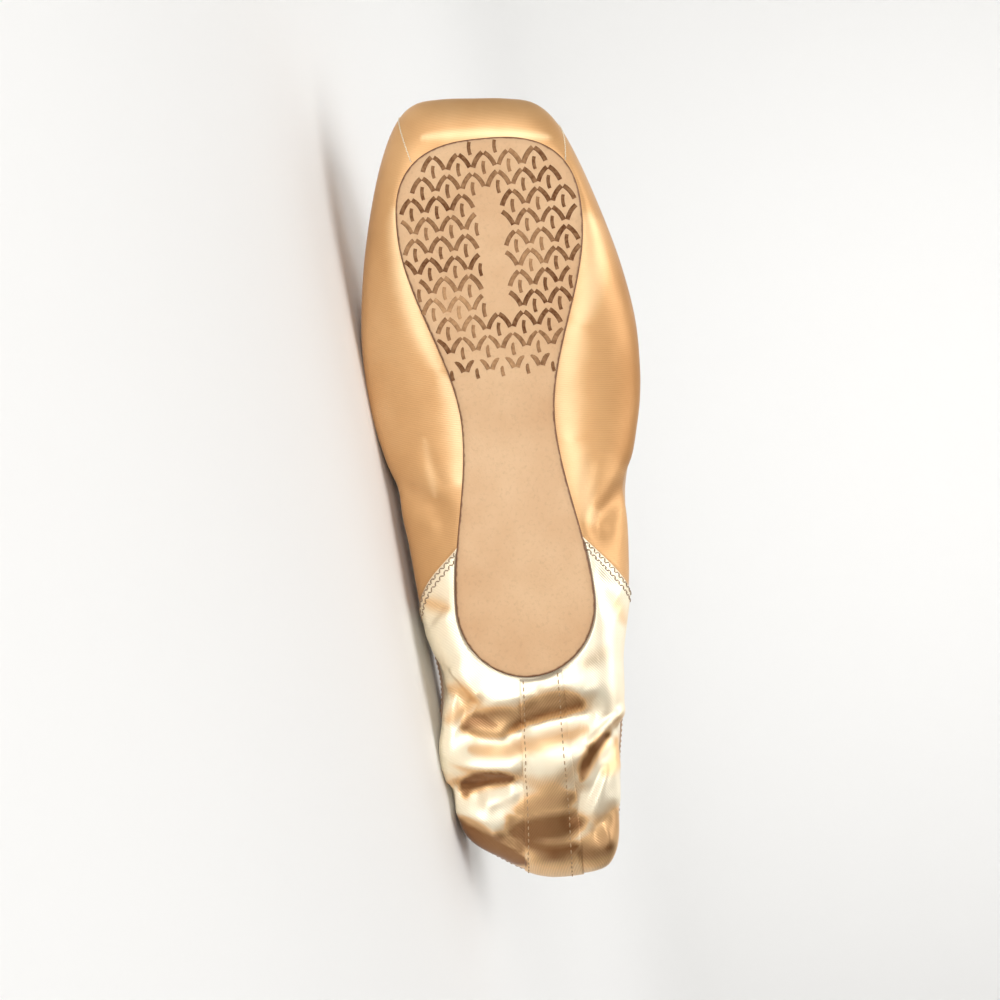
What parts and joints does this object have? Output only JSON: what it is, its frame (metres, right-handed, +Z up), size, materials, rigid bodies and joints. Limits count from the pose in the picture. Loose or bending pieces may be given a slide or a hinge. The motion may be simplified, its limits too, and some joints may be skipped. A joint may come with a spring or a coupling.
{
  "type": "pointe shoe",
  "caption": "Satin pointe shoe with a stiff toe box, thin leather outsole, stretch heel and elastic collar, lying empty on its side.",
  "frame": {"origin": "on the floor, under the middle of the box round the shoe as it lies on its side", "axes": "+Z up; the toe points to -X and the heel to +X; the outsole faces -Y and the collar opens to +Y"},
  "size_m": [0.33, 0.0654, 0.1143],
  "materials": {
    "outsole_leather": "matt buffed leather with a burnished edge",
    "insole_board": "matt sock over a stiff board",
    "upper_satin": "glossy satin",
    "strip_satin": "glossy stretch satin",
    "collar_elastic": "matt ribbed elastic"
  },
  "bodies": {
    "root": {"outsole": "outsole_leather", "insole": "insole_board", "upper": "upper_satin", "heel_strip": "strip_satin", "collar_binding": "collar_elastic"}
  },
  "joints": []
}
